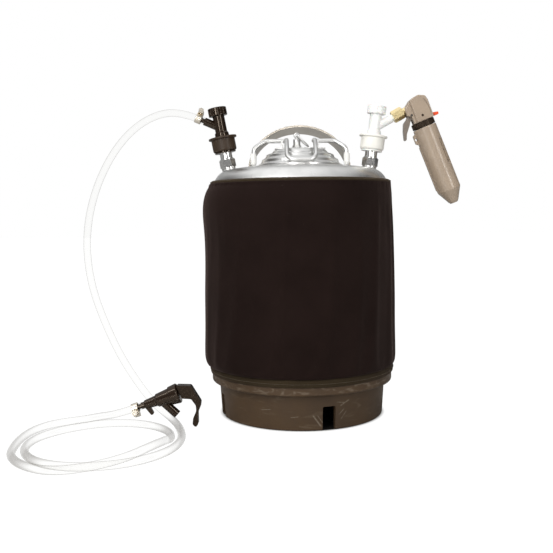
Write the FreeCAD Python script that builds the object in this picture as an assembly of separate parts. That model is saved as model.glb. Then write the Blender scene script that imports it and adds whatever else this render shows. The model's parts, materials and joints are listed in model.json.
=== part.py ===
"""Small home-draught beer keg: stainless tank with rubber boot, padded jacket, oval lid,
two quick couplers, a hand gas charger and a serving tap on a clear hose.
Millimetres, +Z up, origin on the tank's axis at the floor, front of the keg towards -Y."""
import FreeCAD, Part
import math
import os

V = FreeCAD.Vector

# ---- driving dimensions ------------------------------------------------------------
TANK_R = 114.3            # nine inch tank
TANK_WALL = 1.5
KNUCKLE_R = 24.0          # corner radius between side wall and heads
SIDE_LOW, SIDE_HIGH = 62.0, 297.3
CROWN_SLOPE = 9.0         # degrees, top head where it leaves the knuckle
DISH_SLOPE = 12.7         # degrees, bottom head where it leaves the knuckle

BOOT_LIP_R, BOOT_LIP_LOW, BOOT_TOP = 119.3, 44.0, 59.0
BOOT_FOOT_R, BOOT_WAIST_R, BOOT_INNER_R = 107.0, 109.7, 101.5
NOTCH_WIDTH, NOTCH_HEIGHT, NOTCH_TURN = 16.5, 30.0, 16.0

JACKET_R, JACKET_SHIFT = 125.6, -2.5
JACKET_LOW, JACKET_HIGH = 59.6, 305.0
JACKET_GAP = 0.6

OVAL = 1.2                # length of the lid opening over its width
NECK_HALF = 55.0          # half width of the neck where it meets the head
LID_TOP = 347.4

PIVOT_Z = 358.5           # bail hinge line, across the lid
WIRE_R = 2.8
U_HALF = 18.0             # bail handle, half width
EAR_X, EAR_THICK = 23.5, 2.6
FOOT_X, FOOT_Y = 61.0, -6.0

RELIEF_X = -4.0
EYE_Z = LID_TOP + 17.8
RING_R, RING_WIRE = 10.2, 0.9

POST_Z = 321.5
LIQUID = {"side": -1, "x": -93.6, "lean": -10.5, "arm_turn": -66.6, "arm_foot": 55.5,
          "arm_r": 5.2, "arm_len": 22.7, "tip_r": 3.1, "tip_len": 34.5}
GAS = {"side": 1, "x": 91.0, "lean": 7.5, "arm_turn": 61.0, "arm_foot": 53.0,
       "arm_r": 5.4, "arm_len": 25.0, "tip_r": 4.6, "tip_len": 33.0}
POST_R = 8.0
POST_TOP = 38.0
COLLAR_R, COLLAR_FLANGE_R, COLLAR_BORE = 15.5, 18.4, 12.9
SLEEVE_R = 12.5
BARREL_R = 7.8
CAP_R = 12.2
COUPLER_TOP = 82.0

CHARGER_AT = (162.0, 0.0, 378.5)
CHARGER_TURN = -21.96
HEAD_HALF_DEPTH = 12.5
NOSE_HALF_DEPTH = 9.4     # the trigger's end of the head is slimmer than its cover
COVER_START = -8.2
HEAD_WALL = 2.0
HANDLE_R = 15.5
SCOOP_TURN = -34.0         # finger scoop in the holder, turned from +X towards the front
CARTRIDGE_R = 10.9
NUT_START, NUT_LEN, NUT_FLATS = 27.5, 14.5, 14.4
TRIGGER_PIVOT = (-11.5, 16.0)
TAB_PIVOT = (12.0, 7.0)

HOSE_R = 4.75
BARB_R = 3.1
CLAMP_OUT = 6.3
COIL_AT = (-239.0, -160.0)
COIL_OUT, COIL_IN = 108.0, 72.0
COIL_SINGLE, COIL_DOUBLE = 2.0 * HOSE_R, 4.0 * HOSE_R

TAP_Y = -88.0
TAP_AT = (-200.4, TAP_Y, 28.9)
TAP_TURN = 71.0           # barrel rises 19 degrees towards +X
LEVER_X = -142.0


# ---- helpers -----------------------------------------------------------------------
def corner(before, here, after, radius):
    """Start, middle and end of the arc that rounds one corner of a path."""
    to_before = (before - here).normalize()
    to_after = (after - here).normalize()
    half = to_before.getAngle(to_after) / 2.0
    reach = radius / math.tan(half)
    inward = (to_before + to_after).normalize()
    centre = here + inward * (radius / math.sin(half))
    return here + to_before * reach, centre - inward * radius, here + to_after * reach


def path(points, radii, closed=False):
    """Wire of straight runs joined by tangent arcs; a radius of 0 leaves a sharp corner."""
    pts = [V(*p) for p in points]
    count = len(pts)
    stops = []
    for i, here in enumerate(pts):
        end = not closed and i in (0, count - 1)
        if end or radii[i] <= 0:
            stops.append((here, None, here))
        else:
            stops.append(corner(pts[i - 1], here, pts[(i + 1) % count], radii[i]))
    edges = []
    for i, (start, middle, end) in enumerate(stops):
        if middle is not None:
            edges.append(Part.Arc(start, middle, end).toShape())
        if closed or i < count - 1:
            following = stops[(i + 1) % count][0]
            if (following - end).Length > 1e-6:
                edges.append(Part.LineSegment(end, following).toShape())
    return Part.Wire(edges)


def outline(points):
    """Closed wire in the XZ plane from (x, z) or (x, z, corner radius) points."""
    spots = [(p[0], 0.0, p[1]) for p in points]
    radii = [p[2] if len(p) > 2 else 0.0 for p in points]
    return path(spots, radii, closed=True)


def revolve(points):
    return Part.Face(outline(points)).revolve(V(0, 0, 0), V(0, 0, 1), 360)


def plate(points, half_depth):
    """Slab with an XZ outline, centred on Y = 0."""
    face = Part.Face(outline(points))
    face.translate(V(0, -half_depth, 0))
    return face.extrude(V(0, 2.0 * half_depth, 0))


def cylinder(radius, height, base=(0, 0, 0), axis=(0, 0, 1)):
    return Part.makeCylinder(radius, height, V(*base), V(*axis))


def tube(outer, inner, height, base=(0, 0, 0), axis=(0, 0, 1)):
    return cylinder(outer, height, base, axis).cut(cylinder(inner, height, base, axis))


def ring(radius, thickness, centre=(0, 0, 0), axis=(0, 0, 1)):
    return Part.makeTorus(radius, thickness, V(*centre), V(*axis))


def box(x0, x1, y0, y1, z0, z1):
    return Part.makeBox(x1 - x0, y1 - y0, z1 - z0, V(x0, y0, z0))


def hexagon(across_flats, z0, height):
    reach = across_flats / math.sqrt(3.0)
    corners = [V(reach * math.cos(math.radians(60 * i)), reach * math.sin(math.radians(60 * i)), z0)
               for i in range(6)]
    return Part.Face(Part.makePolygon(corners + corners[:1])).extrude(V(0, 0, height))


def rod(points, radii, radius):
    """Round bar along a path of runs and arcs."""
    spine = path(points, radii)
    start, following = V(*points[0]), V(*points[1])
    section = Part.Wire(Part.makeCircle(radius, start, following - start))
    return spine.makePipeShell([section], True, False)


def coil_spring(mean_r, wire_r, z0, z1, turns):
    """Stack of closed rings that stands for a coil spring, joined by a thin inner sleeve."""
    step = (z1 - z0 - 2.0 * wire_r) / (turns - 1)
    body = tube(mean_r + wire_r * 0.4, mean_r - wire_r * 0.4, z1 - z0 - 2.0 * wire_r,
                (0, 0, z0 + wire_r))
    for i in range(turns):
        body = body.fuse(ring(mean_r, wire_r, (0, 0, z0 + wire_r + i * step)))
    return body


def oval(shape):
    """Stretch along Y, from a round form to the lid's oval."""
    stretch = FreeCAD.Matrix()
    stretch.A22 = OVAL
    return shape.transformGeometry(stretch)


def turned(shape, origin, degrees):
    """Place a shape drawn about local Z: turned about Y, then moved to its origin."""
    moved = shape.copy()
    place = FreeCAD.Placement(V(*origin), FreeCAD.Rotation(V(0, 1, 0), degrees))
    moved.Placement = place.multiply(moved.Placement)
    return moved


def turned_point(x, z, origin, degrees):
    angle = math.radians(degrees)
    return (origin[0] + x * math.cos(angle) + z * math.sin(angle), origin[1],
            origin[2] - x * math.sin(angle) + z * math.cos(angle))


# ---- tank --------------------------------------------------------------------------
def tank_profile(grow):
    """Outer half profile of the tank, grown outwards by an offset, from top to bottom axis."""
    knuckle = KNUCKLE_R + grow
    hub_r = TANK_R - KNUCKLE_R
    top, low = math.radians(CROWN_SLOPE), math.radians(DISH_SLOPE)
    crown_r = hub_r / math.sin(top) + knuckle
    dish_r = hub_r / math.sin(low) + knuckle
    crown_z = SIDE_HIGH - hub_r / math.tan(top)
    dish_z = SIDE_LOW + hub_r / math.tan(low)

    def spot(radius, z):
        return V(radius, 0, z)

    def crown(angle):
        return spot(crown_r * math.sin(angle), crown_z + crown_r * math.cos(angle))

    def dish(angle):
        return spot(dish_r * math.sin(angle), dish_z - dish_r * math.cos(angle))

    def bend(angle, z, sign):
        return spot(hub_r + knuckle * math.sin(angle), z + sign * knuckle * math.cos(angle))

    mid_top, mid_low = (math.pi / 2 + top) / 2, (math.pi / 2 + low) / 2
    side = TANK_R + grow
    return [
        Part.Arc(crown(0.0), crown(top / 2), crown(top)).toShape(),
        Part.Arc(crown(top), bend(mid_top, SIDE_HIGH, 1), spot(side, SIDE_HIGH)).toShape(),
        Part.LineSegment(spot(side, SIDE_HIGH), spot(side, SIDE_LOW)).toShape(),
        Part.Arc(spot(side, SIDE_LOW), bend(mid_low, SIDE_LOW, -1), dish(low)).toShape(),
        Part.Arc(dish(low), dish(low / 2), dish(0.0)).toShape(),
    ], crown(0.0), dish(0.0)


def tank_form(grow):
    """Solid of revolution of the tank's outside, grown by an offset."""
    edges, top, bottom = tank_profile(grow)
    edges.append(Part.LineSegment(bottom, top).toShape())
    return Part.Face(Part.Wire(edges)).revolve(V(0, 0, 0), V(0, 0, 1), 360)


def crown_z(radius):
    """Height of the top head's outside at a radius."""
    slope = math.radians(CROWN_SLOPE)
    sphere = (TANK_R - KNUCKLE_R) / math.sin(slope) + KNUCKLE_R
    centre = SIDE_HIGH - (TANK_R - KNUCKLE_R) / math.tan(slope)
    return centre + math.sqrt(sphere ** 2 - radius ** 2)


def tank_shell():
    shell = tank_form(0.0).cut(tank_form(-TANK_WALL))
    shell = shell.cut(oval(cylinder(NECK_HALF, 30.0, (0, 0, 310.0))))
    for post in (LIQUID, GAS):
        shell = shell.cut(at_post(post, cylinder(9.0, 20.0, (0, 0, -12.0))))
    return shell


def lid_neck():
    """Raised oval neck; its stepped outside carries the pressed rings round the lid."""
    return oval(revolve([
        (NECK_HALF, 321.0), (NECK_HALF, 327.0, 1.0), (51.0, 329.6, 1.2), (50.0, 333.4, 1.2),
        (45.4, 336.2, 1.2), (44.2, 339.6, 1.0), (41.6, 341.0, 0.8), (39.2, 340.8, 0.5),
        (39.2, 338.4), (43.0, 335.0), (47.6, 332.2), (48.6, 328.2), (52.4, 325.4), (52.4, 321.0)]))


def strap_handle():
    """Bent strip standing across the back of the head, tilted backwards."""
    thick, half_wide, lean, foot_y = 2.4, 19.0, 9.0, 38.0
    top_r, top_z = 75.6, 304.4
    side_r, side_x, side_z = 58.8, 10.2, 317.7
    join = math.radians(52.5)

    def arch(inset):
        upper = top_r - inset
        lower = side_r - inset
        meet = V(side_x + lower * math.cos(join), 0, side_z + lower * math.sin(join))
        foot = V(side_x + lower, 0, side_z)
        knee = V(side_x + lower * math.cos(join / 2), 0, side_z + lower * math.sin(join / 2))
        crown = V(0, 0, top_z + upper)
        return meet, foot, knee, crown

    def flip(point):
        return V(-point.x, point.y, point.z)

    outer, inner = arch(0.0), arch(thick)
    edges = []
    for meet, foot, knee, crown in (outer, inner):
        edges.append(Part.Arc(flip(foot), flip(knee), flip(meet)).toShape())
        edges.append(Part.Arc(flip(meet), crown, meet).toShape())
        edges.append(Part.Arc(meet, knee, foot).toShape())
    edges.append(Part.LineSegment(outer[1], inner[1]).toShape())
    edges.append(Part.LineSegment(flip(outer[1]), flip(inner[1])).toShape())
    wire = Part.Wire(Part.__sortEdges__(edges))
    strip = Part.Face(wire)
    strip.translate(V(0, -half_wide, 0))
    strip = strip.extrude(V(0, 2.0 * half_wide, 0))
    strip.rotate(V(0, 0, side_z), V(1, 0, 0), -lean)
    strip.translate(V(0, foot_y, 0))
    return strip.cut(tank_form(0.0))


def base_boot():
    hub_r = TANK_R - KNUCKLE_R
    seat = tank_form(0.3)
    boot = revolve([
        (BOOT_INNER_R, 0.0), (BOOT_FOOT_R, 0.0, 2.2), (BOOT_WAIST_R, BOOT_LIP_LOW, 2.5),
        (BOOT_LIP_R, BOOT_LIP_LOW + 1.5, 2.0), (BOOT_LIP_R, BOOT_TOP, 2.0),
        (hub_r, BOOT_TOP), (hub_r, 32.0), (BOOT_INNER_R, 30.0, 3.0)]).cut(seat)
    for i in range(4):
        notch = plate([(-NOTCH_WIDTH / 2, -5.0), (-NOTCH_WIDTH / 2, NOTCH_HEIGHT, 2.0),
                       (NOTCH_WIDTH / 2, NOTCH_HEIGHT, 2.0), (NOTCH_WIDTH / 2, -5.0)], 12.0)
        notch.translate(V(0, -BOOT_FOOT_R, 0))
        notch.rotate(V(0, 0, 0), V(0, 0, 1), NOTCH_TURN + 90.0 * i)
        boot = boot.cut(notch)
    return largest(boot)


def largest(shape):
    """The biggest solid of a cut that may leave crumbs."""
    return max(shape.Solids, key=lambda solid: solid.Volume)


def jacket():
    outer = revolve([(0.0, JACKET_LOW), (121.0, JACKET_LOW, 3.0), (JACKET_R, JACKET_LOW + 26.0, 20.0),
                     (JACKET_R, JACKET_HIGH - 2.0, 15.0), (112.0, JACKET_HIGH, 2.0), (0.0, JACKET_HIGH)])
    outer.translate(V(JACKET_SHIFT, 0, 0))
    return largest(outer.cut(tank_form(JACKET_GAP)))


# ---- lid, bail and relief valve ------------------------------------------------------
def lid():
    dome = oval(revolve([
        (0.0, LID_TOP), (29.0, LID_TOP - 0.5, 3.0), (34.4, LID_TOP - 1.8, 2.0), (37.2, 342.0, 1.5),
        (37.2, 330.6, 1.0), (40.0, 328.7), (46.3, 328.7, 0.8), (46.3, 326.6, 0.8), (38.0, 326.6),
        (35.2, 329.4), (35.2, 341.0), (32.6, LID_TOP - 3.8), (0.0, LID_TOP - 2.0)]))
    return dome.cut(cylinder(4.6, 12.0, (RELIEF_X, 0, LID_TOP - 8.0)))


def lid_gasket():
    return oval(ring(43.3, 2.4, (0, 0, 331.2)))


def bail_bracket():
    """Saddle on the lid with two ears that carry the bail."""
    base_z = LID_TOP + 0.1
    saddle = box(-33.0, 33.0, -7.5, 7.5, base_z, base_z + 1.9)
    for side in (-1, 1):
        ear = plate([(-6.5, base_z), (-6.5, PIVOT_Z + 1.0, 5.0), (6.5, PIVOT_Z + 1.0, 5.0),
                     (6.5, base_z)], EAR_THICK / 2)
        ear.rotate(V(0, 0, 0), V(0, 0, 1), 90)
        ear.translate(V(side * EAR_X, 0, 0))
        saddle = saddle.fuse(ear)
    bores = cylinder(WIRE_R + 0.05, 80.0, (-40, 0, PIVOT_Z), (1, 0, 0))
    return saddle.cut(bores).cut(cylinder(6.1, 9.0, (RELIEF_X, 0, base_z - 3.0)))


def bail_wire():
    """One bent wire: foot legs, hinge stretches through the ears, and the handle loop."""
    side = [(FOOT_X, FOOT_Y, 338.0), (FOOT_X - 1.0, FOOT_Y + 1.0, 349.0), (46.0, 0.0, PIVOT_Z),
            (U_HALF, 0.0, PIVOT_Z), (U_HALF, -31.0, 357.0), (U_HALF, -55.0, 345.0), (U_HALF, -68.0, 330.0)]
    bends = [0.0, 9.0, 9.0, 4.0, 20.0, 14.0, 10.0]
    points = [(-x, y, z) for x, y, z in side] + side[::-1]
    return rod(points, bends + bends[::-1], WIRE_R)


def bail_feet():
    low = crown_z(FOOT_X) + 0.4
    foot = cylinder(4.0, 342.0 - low - 4.0, (0, 0, low + 4.0)).fuse(Part.makeSphere(4.0, V(0, 0, low + 4.0)))
    feet = []
    for side in (-1, 1):
        shoe = foot.copy()
        shoe.translate(V(side * FOOT_X, FOOT_Y, 0))
        feet.append(shoe.cut(bail_wire()))
    return Part.makeCompound([largest(shoe) for shoe in feet])


def at_relief(shape):
    moved = shape.copy()
    moved.translate(V(RELIEF_X, 0, 0))
    return moved


def relief_body():
    low = LID_TOP - 7.0
    body = cylinder(4.5, 8.0, (0, 0, low)).fuse(hexagon(10.0, LID_TOP + 0.6, 4.4))
    body = body.fuse(cylinder(4.6, 8.0, (0, 0, LID_TOP + 5.0)))
    return at_relief(body.cut(cylinder(1.5, 40.0, (0, 0, low - 5.0))).cut(cylinder(3.3, 9.0, (0, 0, LID_TOP + 1.0))))


def relief_stem():
    """Pin with a seat disc inside the valve and an eye on top."""
    stem = cylinder(1.1, 18.0, (0, 0, LID_TOP - 4.4)).fuse(cylinder(2.9, 1.2, (0, 0, LID_TOP + 2.4)))
    eye = ring(3.0, 1.1, (0, 0, EYE_Z), (0, 1, 0)).fuse(cylinder(1.8, 1.6, (0, 0, EYE_Z - 4.3)))
    return at_relief(stem.fuse(eye.cut(cylinder(1.9, 6.0, (0, -3.0, EYE_Z), (0, 1, 0)))))


def relief_seal():
    """O-ring under the stem's disc."""
    return at_relief(ring(2.0, 0.55, (0, 0, LID_TOP + 1.8)))


def relief_spring():
    return at_relief(coil_spring(2.3, 0.45, LID_TOP + 3.9, LID_TOP + 9.8, 4))


def relief_pull_ring():
    """Split ring hung from the stem's eye and leaning down on to the saddle."""
    return turned(ring(RING_R, RING_WIRE, (RING_R, 0, 0)), (RELIEF_X, 0, EYE_Z - 0.4), 42.0)


# ---- keg posts -----------------------------------------------------------------------
def post_origin(post):
    return (post["x"], 0.0, POST_Z)


def at_post(post, shape):
    return turned(shape, post_origin(post), post["lean"])


def post_bungs():
    """Threaded stubs welded into the head."""
    stub = tube(8.9, 4.2, 13.0, (0, 0, -11.0))
    return Part.makeCompound([at_post(post, stub) for post in (LIQUID, GAS)])


def post_body(post):
    """Hexagon nut with the plug above it; the plug has the groove that the balls lock in."""
    plug = revolve([(0.0, 2.1), (9.4, 2.1), (9.4, 3.5), (0.0, 3.5)])
    plug = plug.fuse(hexagon(18.2, 3.5, 10.0)).fuse(cylinder(9.2, 1.2, (0, 0, 13.5)))
    plug = plug.fuse(cylinder(POST_R, POST_TOP - 14.7, (0, 0, 14.7)))
    plug = plug.cut(ring(POST_R + 0.4, 1.5, (0, 0, 28.6))).cut(ring(POST_R, 1.1, (0, 0, 34.2)))
    for i in range(6):
        angle = math.radians(60 * i + 30)
        flute = cylinder(1.3, 5.5, (9.2 * math.cos(angle), 9.2 * math.sin(angle), 15.4))
        plug = plug.cut(flute)
    bore = cylinder(5.4, 30.0, (0, 0, 2.0)).fuse(cylinder(2.6, 10.0, (0, 0, 30.0)))
    bore = bore.fuse(cylinder(6.5, 2.6, (0, 0, 2.0)))
    return at_post(post, plug.cut(bore))


def keg_orings():
    rings = []
    for post in (LIQUID, GAS):
        rings.append(at_post(post, ring(POST_R - 0.27, 0.65, (0, 0, 34.2))))
        rings.append(at_post(post, ring(5.2, 0.55, (0, 0, 2.6))))
    return Part.makeCompound(rings)


def post_poppets():
    """Spring valves inside the posts, held open by the couplers."""
    poppet = cylinder(4.2, 3.0, (0, 0, 25.0)).fuse(cylinder(1.4, 8.0, (0, 0, 28.0)))
    poppet = poppet.fuse(cylinder(1.6, 4.0, (0, 0, 21.2)))
    return Part.makeCompound([at_post(post, poppet) for post in (LIQUID, GAS)])


def poppet_springs():
    spring = coil_spring(3.4, 0.5, 13.4, 24.9, 6)
    return Part.makeCompound([at_post(post, spring) for post in (LIQUID, GAS)])


def dip_flange():
    """Flanged top of a dip tube, seated on its O-ring inside the post."""
    return tube(6.2, 3.2, 1.2, (0, 0, 3.2)).fuse(tube(4.0, 3.2, 17.2, (0, 0, -13.9)))


def liquid_dip_tube():
    """Bent down from the post to the lowest part of the dished bottom."""
    start = turned_point(0, -13.9, post_origin(LIQUID), LIQUID["lean"])
    knee = turned_point(0, -38.0, post_origin(LIQUID), LIQUID["lean"])
    points = [start, knee, (-78.0, 0, 120.0), (-40.0, 0, 70.0), (-14.0, 0, 36.0)]
    bends = [0.0, 30.0, 40.0, 60.0, 0.0]
    return at_post(LIQUID, dip_flange()).fuse(rod(points, bends, 4.0).cut(rod(points, bends, 3.2)))


def gas_dip_tube():
    stem = tube(4.0, 3.2, 26.0, (0, 0, -39.0))
    return at_post(GAS, dip_flange().fuse(stem))


# ---- quick couplers ------------------------------------------------------------------
def arm_origin(post):
    return turned_point(0, post["arm_foot"], post_origin(post), post["lean"])


def at_arm(post, shape):
    return turned(shape, arm_origin(post), post["arm_turn"])


def coupler_body(post):
    body = revolve([
        (8.7, 22.6, 0.4), (13.8, 22.6, 0.5), (13.8, 24.8, 0.5), (SLEEVE_R, 24.9), (SLEEVE_R, 30.6),
        (10.6, 30.7), (10.6, 39.2), (SLEEVE_R, 39.2), (SLEEVE_R, 42.4, 0.6), (9.4, 43.4),
        (9.0, 49.0, 0.8), (BARREL_R, 50.4), (BARREL_R, 79.0), (4.4, 79.0), (4.4, 42.0), (8.7, 42.0)])
    arm = cylinder(post["arm_r"], post["arm_len"]).fuse(cylinder(post["tip_r"], post["tip_len"]))
    body = body.fuse(local_arm(post, arm)).cut(cylinder(4.4, 37.0, (0, 0, 42.0)))
    body = body.cut(local_arm(post, cylinder(1.9, 60.0)))
    for i in range(4):
        body = body.cut(cylinder(2.15, 14.0, (0, 0, 28.6), ball_way(i)))
    return at_post(post, body)


def local_arm(post, shape):
    """Arm drawn about Z, turned into the coupler's own frame."""
    return turned(shape, (0, 0, post["arm_foot"]), post["arm_turn"] - post["lean"])


def ball_way(index):
    angle = math.radians(90 * index + 45)
    return (math.cos(angle), math.sin(angle), 0)


def coupler_cap(post):
    """Screw cap; shallow ribs round it give grip."""
    cap = revolve([(0.0, COUPLER_TOP), (CAP_R, COUPLER_TOP, 1.2), (CAP_R, 71.4, 0.8), (8.0, 71.4),
                   (8.0, 79.2), (0.0, 79.2)])
    for i in range(16):
        angle = math.radians(360 / 16 * i)
        groove = cylinder(0.5, 8.0, (CAP_R * math.cos(angle), CAP_R * math.sin(angle), 72.6))
        cap = cap.cut(groove)
    return at_post(post, cap)


def coupler_collar(post):
    """Sleeve with a finger flange that lifts to free the balls."""
    return at_post(post, revolve([
        (COLLAR_BORE, 25.2), (COLLAR_R - 0.6, 25.2, 0.4), (COLLAR_R, 27.0), (COLLAR_R, 40.6),
        (COLLAR_FLANGE_R, 41.2, 0.5), (COLLAR_FLANGE_R, 43.6, 0.6), (COLLAR_BORE, 43.6),
        (COLLAR_BORE, 33.0), (10.95, 33.0), (10.95, 31.4), (COLLAR_BORE, 31.4)]))


def collar_spring(post):
    return at_post(post, coil_spring(11.75, 0.55, 33.05, 39.1, 4))


def coupler_plunger(post):
    pin = cylinder(1.3, 13.0, (0, 0, 36.15)).fuse(cylinder(3.9, 2.4, (0, 0, 48.0)))
    return at_post(post, pin.fuse(cylinder(1.4, 6.0, (0, 0, 50.4))))


def plunger_spring(post):
    return at_post(post, coil_spring(3.3, 0.5, 62.2, 79.0, 7))


def lock_balls(post):
    balls = []
    for i in range(4):
        way = ball_way(i)
        balls.append(Part.makeSphere(2.0, V(way[0] * 10.45, way[1] * 10.45, 28.6)))
    return at_post(post, Part.makeCompound(balls))


def coupler_seal(post):
    return at_post(post, tube(8.5, 3.0, 2.2, (0, 0, 39.6)))


# ---- gas charger ---------------------------------------------------------------------
def at_charger(shape):
    return turned(shape, CHARGER_AT, CHARGER_TURN)


def flare_nut():
    nut = hexagon(NUT_FLATS, NUT_START, NUT_LEN).common(
        revolve([(0.0, NUT_START), (7.4, NUT_START), (8.4, NUT_START + 1.2), (8.4, NUT_START + NUT_LEN - 1.2),
                 (7.4, NUT_START + NUT_LEN), (0.0, NUT_START + NUT_LEN)]))
    nut = nut.cut(cylinder(4.3, NUT_LEN + 2.0, (0, 0, NUT_START - 1.0)))
    return at_arm(GAS, nut.cut(cylinder(4.65, GAS["tip_len"] + 0.2 - NUT_START + 1.0, (0, 0, NUT_START - 1.0))))


def flare_stub():
    """Outlet tube that the nut draws on to the arm."""
    return at_arm(GAS, tube(4.22, 1.9, 25.0, (0, 0, GAS["tip_len"] + 0.5)))


def head_outline():
    return [(-12.0, 4.2), (-12.0, 14.0, 3.0), (-17.0, 17.0, 2.0), (-17.4, 27.5, 6.0), (-5.0, 36.0, 9.0),
            (5.0, 37.4, 5.0), (13.2, 33.4, 3.0), (14.8, 27.0, 4.0), (14.4, 4.2)]


def softened(solid, half_depth, radius):
    """Round the long edges of a plate-like solid, but not the ones at its open mouth."""
    rounding = [edge for edge in solid.Edges
                if abs(abs(edge.CenterOfMass.y) - half_depth) < 0.01 and edge.CenterOfMass.z > 5.0]
    return solid.makeFillet(radius, rounding)


def head_shape():
    """Head of the charger: a slim nose and a deeper cover behind it."""
    nose = softened(plate(head_outline(), NOSE_HALF_DEPTH), NOSE_HALF_DEPTH, 2.0)
    cover = plate(head_outline(), HEAD_HALF_DEPTH).common(box(COVER_START, 30, -20, 20, 0, 50))
    return nose.fuse(softened(cover, HEAD_HALF_DEPTH, 1.6))


def head_hollow():
    inside = COVER_START + HEAD_WALL
    slim = plate([(-9.8, 6.2), (-9.8, 31.0), (inside, 31.0), (inside, 6.2)], NOSE_HALF_DEPTH - HEAD_WALL)
    deep = plate([(inside, 6.2), (inside, 31.0), (9.8, 31.0), (12.2, 26.0), (12.2, 6.2)],
                 HEAD_HALF_DEPTH - HEAD_WALL)
    return slim.fuse(deep)


def head_openings():
    """Ways out of the head: inlet, trigger slot, tab slot and the threaded mouth."""
    slot = box(-20.0, COVER_START + HEAD_WALL, -4.4, 4.4, 3.0, 30.0)
    tab = box(9.0, 18.0, -3.6, 3.6, 3.0, 12.6)
    mouth = cylinder(9.2, 6.0, (0, 0, 2.0))
    return [slot, tab, mouth]


def charger_shell(side):
    shell = head_shape().cut(head_hollow())
    for opening in head_openings():
        shell = shell.cut(opening)
    half = box(-30, 30, 0.0 if side > 0 else -30.0, 30.0 if side > 0 else 0.0, -5, 50)
    shell = shell.common(half)
    pin_hole = cylinder(1.6, 60.0, (TRIGGER_PIVOT[0], -30, TRIGGER_PIVOT[1]), (0, 1, 0))
    shell = largest(at_charger(shell.cut(pin_hole)))
    return largest(shell.cut(at_arm(GAS, cylinder(4.6, 60.0, (0, 0, 20.0)))).cut(
        at_arm(GAS, cylinder(9.2, NUT_LEN + 1.0, (0, 0, NUT_START - 0.5)))))


def charger_valve():
    """Brass core: valve block, mouth thread, piercing needle and the flared outlet."""
    core = cylinder(8.8, 15.0, (0, 0, -3.0)).fuse(cylinder(6.4, 19.0, (1.5, 0, 11.5)))
    core = core.cut(cylinder(5.2, 8.6, (0, 0, -3.1)))
    core = at_charger(core.fuse(cylinder(0.9, 6.0, (0, 0, -0.5))))
    return largest(core.fuse(flare_stub()))


def charger_ring():
    """Ribbed grip ring between the head and the cartridge holder."""
    band = revolve([(9.0, -3.6), (15.3, -3.6, 0.6), (15.3, 3.9, 0.6), (9.0, 3.9)])
    for i in range(36):
        angle = math.radians(10 * i)
        band = band.cut(cylinder(0.55, 5.6, (15.5 * math.cos(angle), 15.5 * math.sin(angle), -2.6)))
    return at_charger(band)


def cartridge_holder():
    """Long cup that screws up on to the head, with a clip recess and a lanyard lug."""
    cup = revolve([(11.4, -4.2), (HANDLE_R, -4.2, 1.0), (HANDLE_R, -92.0, 5.0), (7.0, -108.0, 3.0),
                   (5.0, -110.6), (0.0, -110.6), (0.0, -104.0), (5.0, -103.0), (11.4, -93.0)])
    scoop = plate([(13.2, -24.5, 5.0), (20.0, -21.0), (20.0, -63.0), (13.2, -59.5, 5.0)], 5.2)
    clip = plate([(13.0, -30.0), (14.7, -31.0, 0.5), (14.7, -54.0, 0.5), (13.0, -55.0)], 2.6)
    for piece in (scoop, clip):
        piece.rotate(V(0, 0, 0), V(0, 0, 1), SCOOP_TURN)
    lug = plate([(-14.0, -8.0), (-18.6, -9.6, 2.0), (-18.6, -21.0, 2.0), (-14.0, -24.0)], 3.0)
    lug = lug.cut(cylinder(1.8, 10.0, (-16.2, -5, -15.6), (0, 1, 0)))
    strip = plate([(-14.8, -26.0), (-16.3, -27.0, 0.5), (-16.3, -88.0, 0.5), (-14.8, -89.0)], 2.2)
    return at_charger(cup.cut(scoop).fuse(lug).fuse(strip).fuse(clip).cut(cylinder(11.4, 60.0, (0, 0, -64.0))))


def co2_cartridge():
    """Steel gas cartridge with a pierced neck."""
    return at_charger(revolve([
        (1.3, 1.0), (3.9, 1.0, 0.4), (3.9, -7.0, 1.0), (CARTRIDGE_R, -14.0, 5.0),
        (CARTRIDGE_R, -88.0, 9.0), (0.0, -90.0), (0.0, -3.0), (1.3, -3.0)]))


def charger_trigger():
    px, pz = TRIGGER_PIVOT
    lever = plate([(px - 2.6, pz + 3.2, 2.6), (px + 3.1, pz + 3.2, 2.6), (px + 3.1, pz - 3.2, 2.6),
                   (-14.0, 10.6, 3.0), (-18.6, 4.0, 6.0), (-25.0, -3.6, 8.0), (-28.6, -11.4, 1.3),
                   (-31.4, -10.8, 1.3), (-28.2, 1.0, 10.0), (-24.2, 10.2, 5.0), (-18.6, 14.0, 3.0)], 3.9)
    return at_charger(lever.cut(cylinder(1.62, 20.0, (px, -10, pz), (0, 1, 0))))


def trigger_pin():
    px, pz = TRIGGER_PIVOT
    return at_charger(cylinder(1.55, 18.4, (px, -9.2, pz), (0, 1, 0)))


def safety_tab():
    px, pz = TAB_PIVOT
    tab = plate([(px - 1.6, pz - 1.6, 1.2), (px + 3.6, pz - 2.2), (px + 11.0, pz - 2.4, 1.4),
                 (px + 11.6, pz + 1.0, 1.4), (px + 3.6, pz + 2.6), (px - 1.6, pz + 2.4, 1.2)], 3.1)
    return at_charger(tab)


# ---- hose ----------------------------------------------------------------------------
def bend_radii(points):
    """Largest arcs that the runs allow: 0.45 of the shorter run over tan of half the turn."""
    pts = [V(*p) for p in points]
    radii = [0.0]
    for i in range(1, len(pts) - 1):
        before, after = pts[i] - pts[i - 1], pts[i + 1] - pts[i]
        turn = before.getAngle(after)
        radii.append(0.45 * min(before.Length, after.Length) / math.tan(turn / 2.0))
    return radii + [0.0]


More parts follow.
